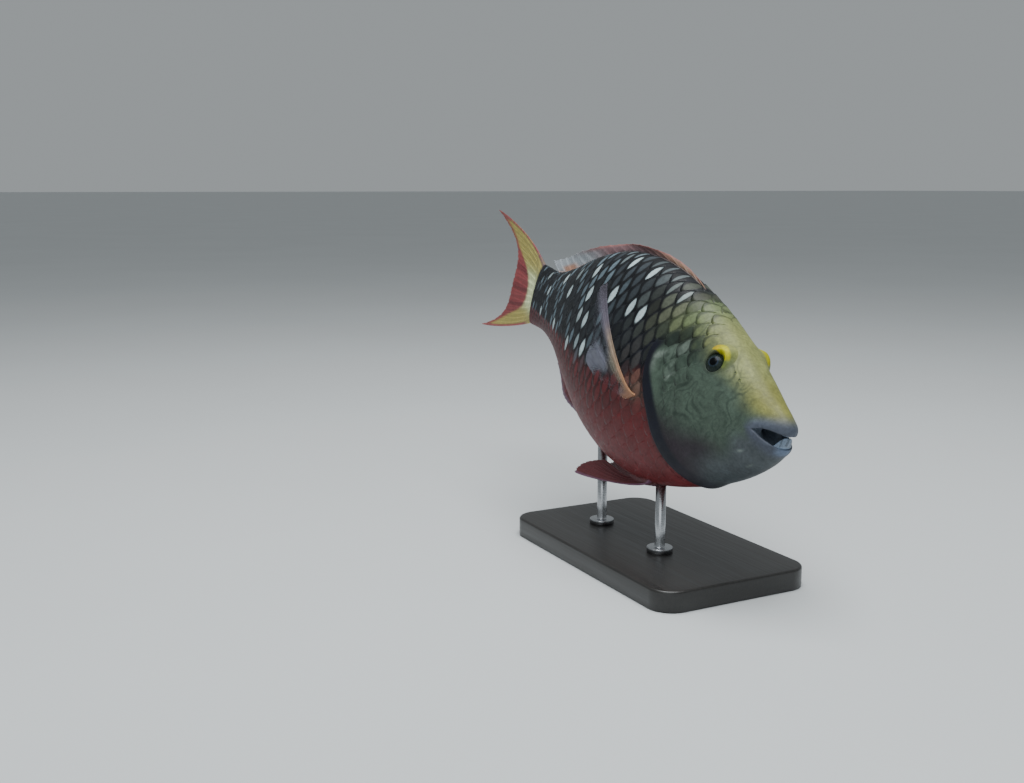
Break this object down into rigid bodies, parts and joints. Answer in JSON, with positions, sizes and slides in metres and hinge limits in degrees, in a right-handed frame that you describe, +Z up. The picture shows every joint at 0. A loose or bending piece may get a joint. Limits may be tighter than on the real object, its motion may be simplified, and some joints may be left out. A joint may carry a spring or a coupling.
{
  "type": "parrotfish model",
  "caption": "Life-size parrotfish as a still display model, turning with its nose down, mouth ajar and one side fin raised, on a plain base with rods.",
  "frame": {"origin": "middle of the underside of the stand's base", "axes": "+X the way the fish swims, +Y its left side, +Z up"},
  "size_m": [0.3911, 0.0998, 0.202],
  "materials": {
    "head_skin": "satin painted skin",
    "flank_scales": "satin painted scales",
    "tail_skin": "satin painted skin",
    "red_fin": "satin",
    "orange_fin": "satin",
    "eye": "polished",
    "beak": "gloss",
    "base_wood": "satin lacquer",
    "rod_steel": "brushed"
  },
  "bodies": {
    "root": {"head": "head_skin", "trunk": "flank_scales", "tail_stalk": "tail_skin", "caudal_fin": "red_fin", "dorsal_fin": "red_fin", "anal_fin": "red_fin", "pectoral_fin_left": "orange_fin", "pectoral_fin_right": "orange_fin", "pelvic_fin_left": "red_fin", "pelvic_fin_right": "red_fin", "eye_left": "eye", "eye_right": "eye", "beak_upper": "beak", "beak_lower": "beak", "stand_base": "base_wood", "stand_rod_front": "rod_steel", "stand_rod_rear": "rod_steel"}
  },
  "joints": []
}
